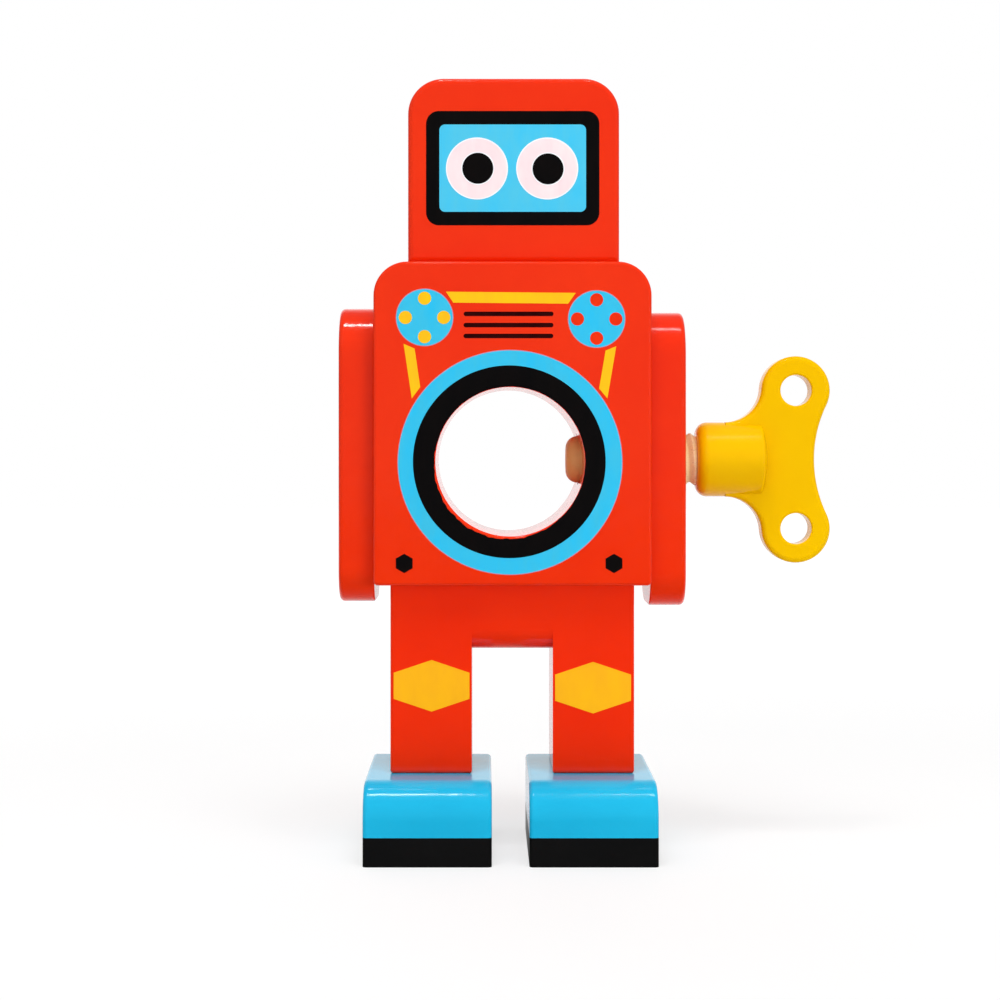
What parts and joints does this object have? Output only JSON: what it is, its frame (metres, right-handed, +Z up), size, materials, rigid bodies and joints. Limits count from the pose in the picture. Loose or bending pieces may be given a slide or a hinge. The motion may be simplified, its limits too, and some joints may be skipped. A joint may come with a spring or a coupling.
{
  "type": "screw nutcracker",
  "caption": "Standing wooden toy-figure nutcracker: a winged key on a threaded wooden spindle screws through the side of the body into a round nut hole.",
  "frame": {"origin": "on the floor, at the middle of the whole figure's width and depth, its key included. The middle of the body lies 22.475 mm from it towards -X, and the spindle's axis 8 mm from it towards +Y", "axes": "+X to the side that the key stands on (the viewer's right), +Y to the back, +Z up; the figure's front faces -Y"},
  "size_m": [0.1482, 0.061, 0.2298],
  "materials": {
    "red_paint": "gloss red paint on wood",
    "blue_paint": "gloss blue paint on wood",
    "black_paint": "satin black paint on wood",
    "yellow_paint": "gloss yellow paint on wood",
    "bare_beech": "bare unvarnished beech"
  },
  "bodies": {
    "frame": {"torso": "red_paint", "head": "red_paint", "left_arm": "red_paint", "right_arm": "red_paint", "left_leg": "red_paint", "right_leg": "red_paint", "hip_block": "red_paint", "left_foot": "blue_paint", "right_foot": "blue_paint", "left_sole": "black_paint", "right_sole": "black_paint", "neck_dowels": "bare_beech", "left_arm_dowels": "bare_beech", "right_arm_dowels": "bare_beech", "left_hip_dowels": "bare_beech", "right_hip_dowels": "bare_beech", "hip_block_dowels": "bare_beech", "left_ankle_dowels": "bare_beech", "right_ankle_dowels": "bare_beech"},
    "key_carriage": {"key_dowel": "bare_beech"},
    "key": {"spindle": "bare_beech", "key_hub": "yellow_paint", "key_wings": "yellow_paint"}
  },
  "joints": [
    {"name": "spindle_travel", "type": "slide", "parent": "frame", "child": "key_carriage", "axis": [1, 0, 0], "range_m": [-0.00405, 0.012]},
    {"name": "spindle_turn", "type": "hinge", "parent": "key_carriage", "child": "key", "pos_m": [0.02753, 0.008, 0.1165], "axis": [1, 0, 0], "range_deg": [-416, 1234]}
  ],
  "couplings": [
    {"joint": "spindle_travel", "follows": "spindle_turn", "m_per_rad": 0.00055704}
  ]
}
